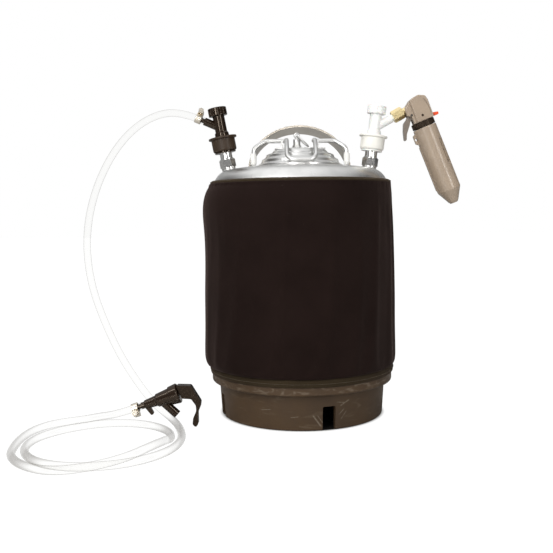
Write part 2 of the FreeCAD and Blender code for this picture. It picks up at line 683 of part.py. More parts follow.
def drop_route():
    """From the black coupler's arm, out and down in one wide bow to the coil on the floor."""
    start = turned_point(0, LIQUID["arm_len"], arm_origin(LIQUID), LIQUID["arm_turn"])
    out = turned_point(0, LIQUID["arm_len"] + 28.0, arm_origin(LIQUID), LIQUID["arm_turn"])
    return [start, out, (-184.0, 0.0, 396.5), (-221.0, 0.0, 375.5), (-252.0, -3.0, 336.0),
            (-274.0, -8.0, 283.0), (-282.0, -13.0, 228.0), (-275.0, -19.0, 172.0),
            (-256.0, -26.0, 121.0), (-232.0, -34.0, 73.0), (-196.0, -41.0, 22.0),
            (-164.0, -66.0, HOSE_R), (-150.0, -110.0, HOSE_R), (-143.5, -148.0, HOSE_R)]


def tail_route():
    """From the tap's barb down on to the floor and round into the coil's outer turn."""
    start = turned_point(0, 0.0, TAP_AT, TAP_TURN)
    out = turned_point(0, -31.0, TAP_AT, TAP_TURN)
    return [start, out, (-267.0, -71.0, HOSE_R), (-306.0, -76.0, HOSE_R), (-333.0, -106.0, HOSE_R)]


def hose(points, name):
    radii = bend_radii(points)
    spine = path(points, radii)
    solid = rod(points, radii, HOSE_R)
    section = math.pi * HOSE_R ** 2
    print(name, "radii", [round(r, 1) for r in radii[1:-1]], "length", round(spine.Length, 1),
          "volume over section x length", round(solid.Volume / (section * spine.Length), 5))
    return solid


def hose_coil():
    """Outer shape of the loose turns: one tube high at the back, two at the front."""
    centre = (COIL_AT[0], COIL_AT[1], 0)
    low = tube(COIL_OUT, COIL_IN, COIL_SINGLE, centre)
    high = tube(COIL_OUT, COIL_IN, COIL_DOUBLE, centre)
    front = box(COIL_AT[0] - 150, COIL_AT[0] + 150, COIL_AT[1] - 150, COIL_AT[1] + 40.0, 0, 40)
    return low.fuse(high.common(front)).removeSplitter()


def clamp():
    """Worm-drive band with its screw housing, drawn about Z with the screw towards +X."""
    band = tube(CLAMP_OUT, HOSE_R + 0.05, 7.6, (0, 0, -3.8))
    housing = box(CLAMP_OUT - 1.0, CLAMP_OUT + 4.0, -5.0, 5.0, -3.4, 3.4)
    screw = cylinder(2.2, 15.0, (CLAMP_OUT + 1.7, -8.6, 0), (0, 1, 0))
    head = cylinder(3.4, 2.6, (CLAMP_OUT + 1.7, -10.6, 0), (0, 1, 0))
    slot = box(CLAMP_OUT - 2.2, CLAMP_OUT + 5.6, -11.0, -9.8, -0.45, 0.45)
    return band.fuse(housing.cut(cylinder(HOSE_R + 0.05, 20.0, (0, 0, -10)))).fuse(screw).fuse(head).cut(slot)


def coupler_clamp():
    piece = clamp()
    piece.rotate(V(0, 0, 0), V(0, 0, 1), 20)
    return at_arm(LIQUID, moved_up(piece, LIQUID["arm_len"] + 8.6))


def tap_clamp():
    piece = clamp()
    piece.rotate(V(0, 0, 0), V(0, 0, 1), -25)
    return turned(moved_up(piece, -8.4), TAP_AT, TAP_TURN)


def moved_up(shape, height):
    moved = shape.copy()
    moved.translate(V(0, 0, height))
    return moved


# ---- serving tap ---------------------------------------------------------------------
def at_tap(shape):
    return turned(shape, TAP_AT, TAP_TURN)


def tap_body():
    """Barbed tail, stepped barrel, spout and finger hook, hollow for the beer."""
    barrel = revolve([(0.0, 0.0), (4.2, 0.0), (4.2, 4.0), (5.4, 5.0, 0.8), (6.7, 19.0, 0.5), (8.2, 20.6, 1.0),
                      (10.0, 37.2), (9.2, 37.3), (9.2, 45.0), (0.0, 45.0)])
    barrel = barrel.fuse(cylinder(BARB_R, 12.5, (0, 0, -12.5)))
    spout = turned(cylinder(5.3, 28.0), (0, 0, 24.5), 62.0)
    hook = plate([(3.0, 3.5), (14.6, 7.7, 1.6), (14.0, 11.5, 1.6), (3.0, 9.7)], 2.6)
    solid = barrel.fuse(spout).fuse(hook)
    solid = solid.cut(cylinder(7.2, 20.0, (0, 0, 26.0))).cut(cylinder(2.2, 60.0, (0, 0, -20.0)))
    return at_tap(solid.cut(turned(cylinder(3.9, 40.0), (0, 0, 24.5), 62.0)))


def tap_cap():
    """Screw cap that closes the barrel."""
    cap = revolve([(9.3, 37.5, 0.3), (11.4, 37.5, 0.6), (12.6, 47.6, 1.0), (11.4, 49.0, 0.6), (3.2, 49.0),
                   (3.2, 45.4), (9.3, 45.4)])
    return at_tap(cap)


def tap_plunger():
    stem = cylinder(2.6, 24.5, (0, 0, 32.0)).fuse(cylinder(6.6, 2.4, (0, 0, 30.4)))
    return at_tap(stem)


def tap_seat():
    return at_tap(tube(6.9, 2.4, 1.8, (0, 0, 28.2)))


def tap_spring():
    return at_tap(coil_spring(4.6, 0.6, 32.9, 45.3, 6))


def tap_lever():
    """Curved lever; its hub straddles the plunger's stem."""
    x0, z0 = LEVER_X, 2.4
    lever = plate([(x0 - 15.6, z0 + 52.6, 1.5), (x0 + 3.0, z0 + 52.0, 3.0), (x0 + 15.2, z0 + 31.8, 4.0),
                   (x0 + 14.4, z0 + 25.6, 8.0), (x0 + 11.2, z0 + 18.6, 10.0), (x0 + 11.4, z0 + 4.6, 3.0),
                   (x0 + 8.6, z0 - 0.2, 2.2), (x0 + 4.4, z0 + 4.2, 3.0), (x0 + 5.2, z0 + 11.6, 10.0),
                   (x0 + 9.2, z0 + 20.6, 8.0), (x0 + 8.8, z0 + 27.6, 6.0), (x0 + 3.2, z0 + 35.6, 3.0),
                   (x0 - 8.0, z0 + 36.4, 1.5)], 6.0)
    lever.translate(V(0, TAP_Y, 0))
    pocket = at_tap(box(-4.4, 4.4, -3.1, 3.1, 46.0, 60.8))
    face = at_tap(cylinder(16.0, 12.0, (0, 0, 37.6)))
    return largest(lever.cut(pocket).cut(face))


# ---- all nodes -----------------------------------------------------------------------
def nodes():
    parts = {
        "tank_shell": tank_shell(), "lid_neck": lid_neck(), "post_bungs": post_bungs(),
        "base_boot": base_boot(), "strap_handle": strap_handle(), "jacket": jacket(),
        "lid": lid(), "lid_gasket": lid_gasket(), "bail_bracket": bail_bracket(),
        "bail_wire": bail_wire(), "bail_feet": bail_feet(), "relief_body": relief_body(),
        "relief_stem": relief_stem(), "relief_seal": relief_seal(), "relief_spring": relief_spring(),
        "relief_pull_ring": relief_pull_ring(), "liquid_post": post_body(LIQUID), "gas_post": post_body(GAS),
        "keg_orings": keg_orings(), "post_poppets": post_poppets(), "poppet_springs": poppet_springs(),
        "liquid_dip_tube": liquid_dip_tube(), "gas_dip_tube": gas_dip_tube(),
    }
    for name, post in (("liquid", LIQUID), ("gas", GAS)):
        parts[name + "_coupler_body"] = coupler_body(post)
        parts[name + "_coupler_cap"] = coupler_cap(post)
        parts[name + "_collar"] = coupler_collar(post)
        parts[name + "_collar_spring"] = collar_spring(post)
        parts[name + "_plunger"] = coupler_plunger(post)
        parts[name + "_plunger_spring"] = plunger_spring(post)
        parts[name + "_lock_balls"] = lock_balls(post)
        parts[name + "_seal"] = coupler_seal(post)
    parts.update({
        "flare_nut": flare_nut(),
        "charger_shell_front": charger_shell(-1), "charger_shell_back": charger_shell(1),
        "charger_valve": charger_valve(), "charger_ring": charger_ring(),
        "cartridge_holder": cartridge_holder(), "co2_cartridge": co2_cartridge(),
        "charger_trigger": charger_trigger(), "trigger_pin": trigger_pin(), "safety_tab": safety_tab(),
        "coupler_clamp": coupler_clamp(), "hose_drop": hose(drop_route(), "hose_drop"),
        "hose_coil": hose_coil(), "hose_tail": hose(tail_route(), "hose_tail"), "tap_clamp": tap_clamp(),
        "tap_body": tap_body(), "tap_cap": tap_cap(), "tap_plunger": tap_plunger(), "tap_seat": tap_seat(),
        "tap_spring": tap_spring(), "tap_lever": tap_lever(),
    })
    return parts


def main():
    os.makedirs("parts", exist_ok=True)
    for name, shape in nodes().items():
        good = shape.isValid() and all(s.isClosed() for s in shape.Solids) and len(shape.Solids) > 0
        bounds = shape.BoundBox
        print("%-22s solids %2d volume %9.1f  z %6.1f..%6.1f %s"
              % (name, len(shape.Solids), shape.Volume, bounds.ZMin, bounds.ZMax, "" if good else "CHECK"))
        shape.exportStep("parts/%s.step" % name)


main()
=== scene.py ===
"""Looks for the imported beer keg: studio, clear hose, jacket, finishes and small fittings.
Metres, +Z up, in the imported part's own frame."""
import json
import math

import bpy
from mathutils import Matrix, Vector, noise


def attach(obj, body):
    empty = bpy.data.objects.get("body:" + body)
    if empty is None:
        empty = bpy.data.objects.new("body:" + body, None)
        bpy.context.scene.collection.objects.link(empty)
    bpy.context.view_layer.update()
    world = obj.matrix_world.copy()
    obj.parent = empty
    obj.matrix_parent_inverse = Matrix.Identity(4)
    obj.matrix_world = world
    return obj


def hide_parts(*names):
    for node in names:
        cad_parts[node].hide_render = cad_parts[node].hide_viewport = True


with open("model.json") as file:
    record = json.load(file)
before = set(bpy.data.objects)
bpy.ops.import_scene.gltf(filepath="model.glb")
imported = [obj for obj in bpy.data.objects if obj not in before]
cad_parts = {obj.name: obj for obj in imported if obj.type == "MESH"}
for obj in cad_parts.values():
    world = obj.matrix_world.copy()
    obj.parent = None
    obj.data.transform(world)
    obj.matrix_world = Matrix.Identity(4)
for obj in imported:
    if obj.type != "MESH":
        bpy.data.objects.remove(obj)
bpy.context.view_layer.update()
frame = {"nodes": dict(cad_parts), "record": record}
MM = 0.001
TAU = 2.0 * math.pi

# ---- driving dimensions ------------------------------------------------------------
CAMERA_AT = (-0.0325, -1.020, 0.264)
CAMERA_PITCH, CAMERA_ROLL = math.radians(4.7), math.radians(0.6)
LENS, SENSOR = 50.0, 36.0
HOSE_R = 4.75 * MM
COIL_CENTRE = Vector((-0.239, -0.160, 0.0))
JACKET_SIDE_R = 125.6 * MM
JACKET_X = -2.5 * MM
JACKET_LOW, JACKET_HIGH = 68.0 * MM, 303.0 * MM
CHARGER_AT, CHARGER_LEAN = Vector((0.162, 0.0, 0.3785)), math.radians(-21.96)
SCOOP_TURN = math.radians(-34.0)

# ---- studio -------------------------------------------------------------------------
# Levels of the tent, where 1.0 is the white background
ROOF, BACK_WALL, DARK_CARD, FRONT_ROOM = 1.03, 0.32, 0.05, 0.18
LEFT_GAIN, RIGHT_GAIN = 1.42, 0.90
LAMP_COLOUR = (1.0, 0.985, 0.965)
# Name, place, aim, width, height, power, and whether shiny surfaces mirror it
SOFT_BOXES = [
    ("front", (0.10, -1.75, 0.72), (0.0, 0.0, 0.34), 0.12, 0.95, 1.5, True),
    ("left_strip", (-0.62, -1.42, 0.66), (0.0, 0.0, 0.30), 0.20, 1.10, 9.0, True),
    ("right_strip", (0.95, -1.20, 0.62), (0.0, 0.0, 0.30), 0.20, 1.05, 7.0, True),
    ("high_strip", (-0.60, -0.80, 0.98), (-0.15, 0.0, 0.10), 1.30, 0.07, 3.2, True),
    ("key", (-1.20, -1.05, 1.05), (0.0, 0.0, 0.22), 1.10, 1.25, 8.0, False),
    ("top", (0.05, 0.10, 1.55), (0.0, 0.0, 0.30), 1.30, 0.90, 6.5, False)]
FLOOR_SIDE = 16.0
# Distances from the boot's middle over which the painted shade under it ends and the even white begins
SHADE_PATCH_EDGE, WHITE_EDGE = (0.103, 0.108), (0.104, 0.112)


# ---- camera and studio ---------------------------------------------------------------
def set_camera():
    """Looks towards +Y from in front, tilted down a little and rolled slightly."""
    level = Vector((1.0, 0.0, 0.0))
    forward = Vector((0.0, math.cos(CAMERA_PITCH), -math.sin(CAMERA_PITCH)))
    level_up = Vector((0.0, math.sin(CAMERA_PITCH), math.cos(CAMERA_PITCH)))
    across = level * math.cos(CAMERA_ROLL) - level_up * math.sin(CAMERA_ROLL)
    up = level_up * math.cos(CAMERA_ROLL) + level * math.sin(CAMERA_ROLL)
    data = bpy.data.cameras.new("camera")
    data.lens, data.sensor_width = LENS, SENSOR
    camera = bpy.data.objects.new("camera", data)
    camera.matrix_world = Matrix((across, up, -forward)).transposed().to_4x4()
    camera.location = CAMERA_AT
    bpy.context.scene.collection.objects.link(camera)
    bpy.context.scene.camera = camera


def soft_box(name, place, aim, width, height, power, mirrored):
    data = bpy.data.lights.new(name, "AREA")
    data.shape, data.size, data.size_y, data.energy = "RECTANGLE", width, height, power
    data.color = LAMP_COLOUR
    light = bpy.data.objects.new(name, data)
    light.location = place
    light.visible_glossy = mirrored
    light.rotation_euler = (Vector(aim) - Vector(place)).to_track_quat("-Z", "Y").to_euler()
    bpy.context.scene.collection.objects.link(light)


class Graph:
    """Short ways to build a node tree's maths."""

    def __init__(self, tree):
        self.nodes, self.links = tree.nodes, tree.links

    def math(self, kind, a, b=None, clamp=False):
        node = self.nodes.new("ShaderNodeMath")
        node.operation, node.use_clamp = kind, clamp
        for socket, value in zip(node.inputs, (a, b)):
            if isinstance(value, (int, float)):
                socket.default_value = value
            elif value is not None:
                self.links.new(value, socket)
        return node.outputs[0]

    def graded(self, socket, low, high, to_low=0.0, to_high=1.0):
        """Eases from to_low to to_high while the socket goes from low to high."""
        node = self.nodes.new("ShaderNodeMapRange")
        node.interpolation_type = "SMOOTHSTEP"
        self.links.new(socket, node.inputs["Value"])
        for name, value in (("From Min", low), ("From Max", high), ("To Min", to_low), ("To Max", to_high)):
            node.inputs[name].default_value = value
        return node.outputs["Result"]

    def blend(self, share, a, b):
        """Mixes two values or sockets: a where share is 0, b where it is 1."""
        node = self.nodes.new("ShaderNodeMix")
        for socket, value in ((node.inputs["Factor"], share), (node.inputs["A"], a), (node.inputs["B"], b)):
            if isinstance(value, (int, float)):
                socket.default_value = value
            else:
                self.links.new(value, socket)
        return node.outputs["Result"]

    def seen_by_camera(self):
        return self.nodes.new("ShaderNodeLightPath").outputs["Is Camera Ray"]


def set_tent():
    """Bright roof and grey back wall, with dark cards beside the back and a dim room in front.
    x, y and z are the parts of the direction looked in, each from -1 to 1."""
    world = bpy.data.worlds.new("tent")
    bpy.context.scene.world = world
    world.use_nodes = True
    graph = Graph(world.node_tree)
    split = graph.nodes.new("ShaderNodeSeparateXYZ")
    graph.links.new(graph.nodes.new("ShaderNodeTexCoord").outputs["Generated"], split.inputs[0])
    x, y, z = split.outputs
    front = graph.graded(y, -0.85, -0.15, 1.0, 0.0)
    beside = graph.math("MULTIPLY", graph.graded(graph.math("ABSOLUTE", x), 0.45, 0.75),
                        graph.graded(y, -0.25, 0.10))
    wall = graph.blend(beside, BACK_WALL, DARK_CARD)
    wall = graph.blend(front, wall, FRONT_ROOM)
    high = graph.blend(front, graph.graded(z, 0.42, 1.12), graph.graded(z, 0.40, 0.95))
    sideways = graph.graded(x, -0.6, 0.6, LEFT_GAIN, RIGHT_GAIN)
    level = graph.math("MULTIPLY", graph.blend(high, wall, ROOF), sideways)
    background = graph.nodes["Background"]
    background.inputs["Color"].default_value = (1.0, 1.0, 1.0, 1.0)
    graph.links.new(graph.blend(graph.seen_by_camera(), level, 1.0), background.inputs["Strength"])


def set_studio():
    """White sweep in a tent, narrow strips that shine in steel and plastic, and two soft lights."""
    set_tent()
    for box in SOFT_BOXES:
        soft_box(*box)

    bpy.ops.mesh.primitive_grid_add(x_subdivisions=2, y_subdivisions=2, size=FLOOR_SIDE)
    floor = bpy.context.object
    floor.name = "floor"
    floor.data.materials.append(floor_finish())
    bpy.context.scene.view_settings.view_transform = "Standard"


# ---- finishes ------------------------------------------------------------------------
class Finish(Graph):
    """A Principled material with short ways to add detail in object coordinates."""

    def __init__(self, name, colour, roughness, **sockets):
        self.material = bpy.data.materials.new(name)
        self.material.use_nodes = True
        super().__init__(self.material.node_tree)
        self.shader = self.nodes["Principled BSDF"]
        self.shader.inputs["Base Color"].default_value = (*colour, 1.0)
        self.shader.inputs["Roughness"].default_value = roughness
        for socket, value in sockets.items():
            self.shader.inputs[socket.replace("_", " ")].default_value = value
        self.place = self.nodes.new("ShaderNodeTexCoord").outputs["Object"]

    def stretched(self, scale):
        mapping = self.nodes.new("ShaderNodeMapping")
        mapping.inputs["Scale"].default_value = scale
        self.links.new(self.place, mapping.inputs["Vector"])
        return mapping.outputs[0]

    def noise(self, scale, detail=4.0, stretch=(1, 1, 1), distortion=0.0):
        """Noise with about scale features per metre, finer along an axis with a larger stretch."""
        node = self.nodes.new("ShaderNodeTexNoise")
        node.inputs["Scale"].default_value = scale
        node.inputs["Detail"].default_value = detail
        node.inputs["Distortion"].default_value = distortion
        self.links.new(self.stretched(stretch), node.inputs["Vector"])
        return node.outputs["Fac"]

    def split(self):
        node = self.nodes.new("ShaderNodeSeparateXYZ")
        self.links.new(self.place, node.inputs[0])
        return node.outputs

    def show_mix(self, share, first, second):
        """Shows a mix of two shader sockets: the first where share is 0, the second where it is 1."""
        mix = self.nodes.new("ShaderNodeMixShader")
        self.links.new(share, mix.inputs["Fac"])
        self.links.new(first, mix.inputs[1])
        self.links.new(second, mix.inputs[2])
        self.links.new(mix.outputs[0], self.nodes["Material Output"].inputs["Surface"])

    def tint(self, share, colour, most=1.0):
        """Mixes the base colour towards another where share is high."""
        base = self.shader.inputs["Base Color"]
        node = self.nodes.new("ShaderNodeMix")
        node.data_type = "RGBA"
        if base.is_linked:
            self.links.new(base.links[0].from_socket, node.inputs["A"])
        else:
            node.inputs["A"].default_value = base.default_value
        node.inputs["B"].default_value = (*colour, 1.0)
        self.links.new(self.math("MULTIPLY", share, most), node.inputs["Factor"])
        self.links.new(node.outputs["Result"], base)

    def roughen(self, share, low, high):
        """Roughness from low to high with share."""
        self.links.new(self.graded(share, 0.0, 1.0, low, high), self.shader.inputs["Roughness"])

    def bump(self, height, distance, strength=1.0):
        """Adds relief to what is already there; distance in metres."""
        node = self.nodes.new("ShaderNodeBump")
        node.inputs["Strength"].default_value = strength
        node.inputs["Distance"].default_value = distance
        self.links.new(height, node.inputs["Height"])
        normal = self.shader.inputs["Normal"]
        if normal.is_linked:
            self.links.new(normal.links[0].from_socket, node.inputs["Normal"])
        self.links.new(node.outputs["Normal"], normal)


def floor_finish():
    """Pale sweep that shows the camera an even white; bare and painted dark as shade under the boot."""
    made = Finish("white_sweep", (0.50, 0.50, 0.495), 0.6, Specular_IOR_Level=0.2)
    made.tint(made.noise(1.3, 2.0), (0.53, 0.53, 0.52))
    x, y = made.split()[:2]
    away = made.math("SQRT", made.math("ADD", made.math("MULTIPLY", x, x), made.math("MULTIPLY", y, y)))
    # Painted shade: the floor inside the boot, seen through its notch, is coloured near black
    made.tint(made.graded(away, *SHADE_PATCH_EDGE, 1.0, 0.0), (0.012, 0.011, 0.010))
    open_floor = made.graded(away, *WHITE_EDGE, 0.0, 0.92)
    glow = made.nodes.new("ShaderNodeEmission")
    glow.inputs["Color"].default_value = (1.0, 1.0, 1.0, 1.0)
    glow.inputs["Strength"].default_value = 1.10
    share = made.math("MULTIPLY", made.seen_by_camera(), open_floor)
    made.show_mix(share, made.shader.outputs[0], glow.outputs[0])
    return made.material


def steel(name, colour, rough, brushed=(1, 1, 1)):
    """Metal with fine grain, finer along the larger part of brushed, clouds and a few dull specks."""
    made = Finish(name, colour, rough, Metallic=1.0)
    fine = made.noise(900.0, 3.0, brushed)
    broad = made.noise(38.0, 3.0)
    made.tint(made.graded(broad, 0.35, 0.75), tuple(0.86 * c for c in colour))
    made.tint(made.graded(made.noise(160.0, 5.0), 0.62, 0.78), tuple(0.72 * c for c in colour), 0.35)
    made.roughen(made.math("ADD", made.math("MULTIPLY", fine, 0.5), made.math("MULTIPLY", broad, 0.5)),
                 rough * 0.55, rough * 1.7)
    made.bump(fine, 0.00004, 0.35)
    made.bump(broad, 0.0005, 0.12)
    return made.material


def plastic(name, colour, rough, grain=1400.0, depth=0.00003, wear=None, **sockets):
    """Moulded plastic or rubber: fine grain, slow changes of tone, and thin scratches in the wear colour."""
    made = Finish(name, colour, rough, **sockets)
    fine = made.noise(grain, 2.0)
    broad = made.noise(55.0, 4.0)
    made.tint(made.graded(broad, 0.3, 0.75), tuple(0.88 * c for c in colour))
    if wear:
        scratch = made.graded(made.noise(260.0, 2.0, (1.0, 1.0, 0.12), 1.5), 0.66, 0.74)
        made.tint(scratch, wear, 0.4)
    made.roughen(made.math("ADD", made.math("MULTIPLY", fine, 0.4), made.math("MULTIPLY", broad, 0.6)),
                 rough * 0.7, rough * 1.35)
    made.bump(fine, depth, 0.5)
    return made.material


# Front scratches on the boot as (x, z) ends and half width, in metres
SCRATCHES = [((0.0205, 0.0045), (0.0085, 0.0215), 0.0007), ((0.0225, 0.0090), (0.0150, 0.0200), 0.0004),
             ((0.0430, 0.0290), (0.0560, 0.0365), 0.0006), ((0.0415, 0.0180), (0.0490, 0.0260), 0.0004),
             ((0.0440, 0.0120), (0.0520, 0.0230), 0.0003), ((-0.0180, 0.0170), (-0.0060, 0.0185), 0.0003),
             ((0.0390, 0.0345), (0.0500, 0.0330), 0.0004), ((-0.0540, 0.0240), (-0.0400, 0.0262), 0.0003)]


def scratch(made, x, y, z, start, end, half):
    """Share of a thin straight mark on the front of the boot, broken up by noise."""
    length = math.hypot(end[0] - start[0], end[1] - start[1])
    ux, uz = (end[0] - start[0]) / length, (end[1] - start[1]) / length
    dx, dz = made.math("SUBTRACT", x, start[0]), made.math("SUBTRACT", z, start[1])
    along = made.math("ADD", made.math("MULTIPLY", dx, ux), made.math("MULTIPLY", dz, uz))
    sideways = made.math("SUBTRACT", made.math("MULTIPLY", dx, uz), made.math("MULTIPLY", dz, ux))
    across = made.math("ABSOLUTE", sideways)
    inside = made.math("MULTIPLY", made.graded(along, 0.0, 0.15 * length),
                       made.graded(along, 0.80 * length, length, 1.0, 0.0))
    line = made.graded(across, 0.4 * half, 1.9 * half, 1.0, 0.0)
    front = made.math("LESS_THAN", y, 0.0)
    broken = made.graded(made.noise(420.0, 3.0), 0.34, 0.56, 0.25, 1.0)
    return made.math("MULTIPLY", made.math("MULTIPLY", inside, line), made.math("MULTIPLY", front, broken))


def rubber_boot():
    """Olive black rubber with chalky scuffs, thickest on the lip and by the front notch."""
    made = Finish("boot_rubber", (0.055, 0.031, 0.0135), 0.44, Specular_IOR_Level=0.30)
    x, y, z = made.split()
    broad, fine = made.noise(26.0, 5.0), made.noise(420.0, 4.0)
    made.tint(made.graded(broad, 0.35, 0.7), (0.046, 0.027, 0.0135))
    streaks = made.graded(made.noise(34.0, 6.0, (1.0, 1.0, 4.5), 0.8), 0.56, 0.74)
    made.tint(streaks, (0.12, 0.09, 0.060), 0.34)
    lip = made.graded(z, 0.043, 0.050)
    chalk = made.graded(made.noise(95.0, 5.0, (1.0, 1.0, 2.2), 0.5), 0.50, 0.68)
    made.tint(made.math("MULTIPLY", lip, chalk), (0.17, 0.135, 0.10), 0.50)
    for (x0, z0), (x1, z1), half in SCRATCHES:
        made.tint(scratch(made, x, y, z, (x0, z0), (x1, z1), half), (0.20, 0.165, 0.125), 0.55)
    made.roughen(broad, 0.42, 0.72)
    made.bump(fine, 0.00012, 0.5)
    made.bump(broad, 0.0012, 0.25)
    return made.material


# Columns of stitches round the keg, and radians of the rows' wave per metre of height
KNIT_COLUMNS, KNIT_ROWS = 760.0, 5200.0


def knit(name, colour, ribs=0.0):
    """Nylon jersey face of neoprene: fine stitches in rows round the keg, and ribs where it binds an edge."""
    made = Finish(name, colour, 0.86, Sheen_Weight=0.11, Sheen_Roughness=0.40, Specular_IOR_Level=0.10)
    made.shader.inputs["Sheen Tint"].default_value = (0.66, 0.46, 0.41, 1.0)
    x, y, z = made.split()
    angle = made.math("ARCTAN2", y, x)
    column = made.math("SINE", made.math("MULTIPLY", angle, KNIT_COLUMNS))
    climb = made.math("MULTIPLY", z, KNIT_ROWS)
    row = made.math("SINE", made.math("ADD", climb, made.math("MULTIPLY", column, 1.1)))
    loop = made.math("MULTIPLY", made.math("ADD", column, 1.4), made.math("ADD", row, 1.4))
    loop = made.math("MULTIPLY", loop, 0.17)
    cloud = made.noise(17.0, 5.0)
    made.tint(made.graded(cloud, 0.34, 0.72), tuple(0.72 * c for c in colour))
    made.tint(made.graded(made.noise(1500.0, 2.0), 0.60, 0.80), tuple(1.9 * c for c in colour), 0.5)
    lint = made.graded(made.noise(210.0, 6.0, (1.0, 1.0, 1.6), 2.0), 0.70, 0.76)
    made.tint(lint, (0.10, 0.085, 0.075), 0.22)
    made.tint(made.graded(loop, 0.1, 0.6), tuple(1.35 * c for c in colour), 0.5)
    made.roughen(cloud, 0.78, 0.95)
    made.bump(loop, 0.00010, 0.6)
    made.bump(cloud, 0.0010, 0.25)
    if ribs:
        made.bump(made.math("SINE", made.math("MULTIPLY", angle, ribs)), 0.00018, 0.6)
    return made.material


# Painted light: the tube's edge lines are painted stronger where its surface faces this way, up and to the
# left
PAINTED_LIGHT_FROM = (-0.80, 0.0, 0.60)


def clear_vinyl():
    """Clear tube: the wall shows as faint lines along its edges and along the edge of the bore; the edge
    lines are painted stronger on the side facing up and to the left, as painted light.
    """
    made = Finish("clear_vinyl", (0.17, 0.155, 0.14), 0.06, Specular_IOR_Level=0.3)
    nodes, links = made.nodes, made.links
    made.tint(made.graded(made.noise(60.0, 3.0), 0.4, 0.7), (0.13, 0.12, 0.11))
    made.roughen(made.noise(300.0, 2.0), 0.04, 0.10)
    facing = nodes.new("ShaderNodeLayerWeight")
    facing.inputs["Blend"].default_value = 0.5
    painted_light_dot = nodes.new("ShaderNodeVectorMath")
    painted_light_dot.operation = "DOT_PRODUCT"
    painted_light_dot.inputs[1].default_value = PAINTED_LIGHT_FROM
    links.new(nodes.new("ShaderNodeNewGeometry").outputs["Normal"], painted_light_dot.inputs[0])
    # Painted light: the edge lines are stronger on the side that faces up and to the left
    painted_side_strength = made.graded(painted_light_dot.outputs["Value"], -0.2, 0.7, 0.09, 0.40)
    rim = made.math("MULTIPLY", made.graded(facing.outputs["Facing"], 0.30, 0.72), painted_side_strength)
    bore_in = made.graded(facing.outputs["Facing"], 0.14, 0.20, 0.0, 0.035)
    bore_out = made.graded(facing.outputs["Facing"], 0.20, 0.28, 1.0, 0.0)
    wall = made.math("ADD", rim, made.math("MULTIPLY", bore_in, bore_out))
    share = made.math("ADD", wall, 0.012, clamp=True)
    open_air = nodes.new("ShaderNodeBsdfTransparent")
    open_air.inputs["Color"].default_value = (0.992, 0.992, 0.988, 1.0)
    made.show_mix(share, open_air.outputs[0], made.shader.outputs[0])
    return made.material


def finishes():
    """Every finish by material slot, or by node where one node looks unlike its slot."""
    return {
        "stainless": steel("stainless", (0.80, 0.80, 0.79), 0.30, (1, 1, 6)),
        "liquid_post": steel("post_steel", (0.82, 0.81, 0.80), 0.12),
        "wire_steel": steel("wire_steel", (0.76, 0.76, 0.75), 0.34),
        # Painted shade and reflection: the strap is coloured darker and browner than the other steel,
        # standing for its shaded underside and the warm surroundings it mirrors
        "strap_handle": steel("strap_steel_painted_shade", (0.54, 0.495, 0.43), 0.20, (6, 1, 1)),
        # Painted shade: the trigger pin is coloured near black to stand for the shaded gap it sits in
        "trigger_pin": steel("pin_painted_shade", (0.10, 0.09, 0.08), 0.4),
        "tube_steel": steel("tube_steel", (0.70, 0.70, 0.70), 0.30),
        "clamp_steel": steel("clamp_steel", (0.80, 0.74, 0.64), 0.20),
        "cartridge_steel": steel("cartridge_steel", (0.70, 0.70, 0.69), 0.28),
        "nut_brass": steel("nut_brass", (1.0, 0.82, 0.45), 0.26),
        "boot_rubber": rubber_boot(),
        "seal_rubber": plastic("seal_rubber", (0.018, 0.018, 0.018), 0.6),
        "jacket_neoprene": knit("jacket_neoprene", (0.0088, 0.0040, 0.0031)),
        "foot_plastic": plastic("foot_plastic", (0.80, 0.80, 0.78), 0.45),
        "black_plastic": plastic("black_plastic", (0.010, 0.0045, 0.0020), 0.10, 300.0, 0.000012,
                                 (0.05, 0.040, 0.03), Specular_Tint=(1.0, 0.85, 0.70, 1.0),
                                 Specular_IOR_Level=0.55),
        "dark_grey_plastic": plastic("dark_grey_plastic", (0.036, 0.021, 0.011), 0.44, 900.0, 0.00008,
                                     (0.09, 0.08, 0.07), Specular_IOR_Level=0.32),
        "white_plastic": plastic("white_plastic", (0.81, 0.815, 0.80), 0.32, 500.0, 0.00004,
                                 Subsurface_Weight=0.08, Subsurface_Scale=0.003),
        "ivory_plastic": plastic("ivory_plastic", (0.82, 0.81, 0.76), 0.42, 700.0, 0.00005),
        "matte_black_plastic": plastic("matte_black_plastic", (0.010, 0.0055, 0.0032), 0.36, 800.0, 0.00006,
                                       (0.05, 0.038, 0.028), Specular_Tint=(1.0, 0.80, 0.62, 1.0),
                                       Specular_IOR_Level=0.36),
        "taupe_plastic": plastic("taupe_plastic", (0.345, 0.272, 0.205), 0.27, 1100.0, 0.00004,
                                 (0.50, 0.44, 0.37), Coat_Weight=0.15, Coat_Roughness=0.25),
        "charger_trigger": plastic("trigger_satin", (0.19, 0.160, 0.135), 0.26, 1100.0, 0.00004,
                                   (0.45, 0.41, 0.36), Coat_Weight=0.3, Coat_Roughness=0.15),
        "red_plastic": plastic("red_plastic", (0.78, 0.085, 0.022), 0.28),
        "clear_vinyl": clear_vinyl(),
    }


# ---- mesh helpers ----------------------------------------------------------------------
def add_object(name, data, finish, body="keg"):
    made = bpy.data.objects.new(name, data)
    bpy.context.scene.collection.objects.link(made)
    made.data.materials.append(finish)
    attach(made, body)
    return made


def mesh_from(name, points, faces, smooth=True):
    mesh = bpy.data.meshes.new(name)
    mesh.from_pydata(points, [], faces)
    mesh.validate()
    if smooth:
        mesh.polygons.foreach_set("use_smooth", [True] * len(mesh.polygons))
    return mesh


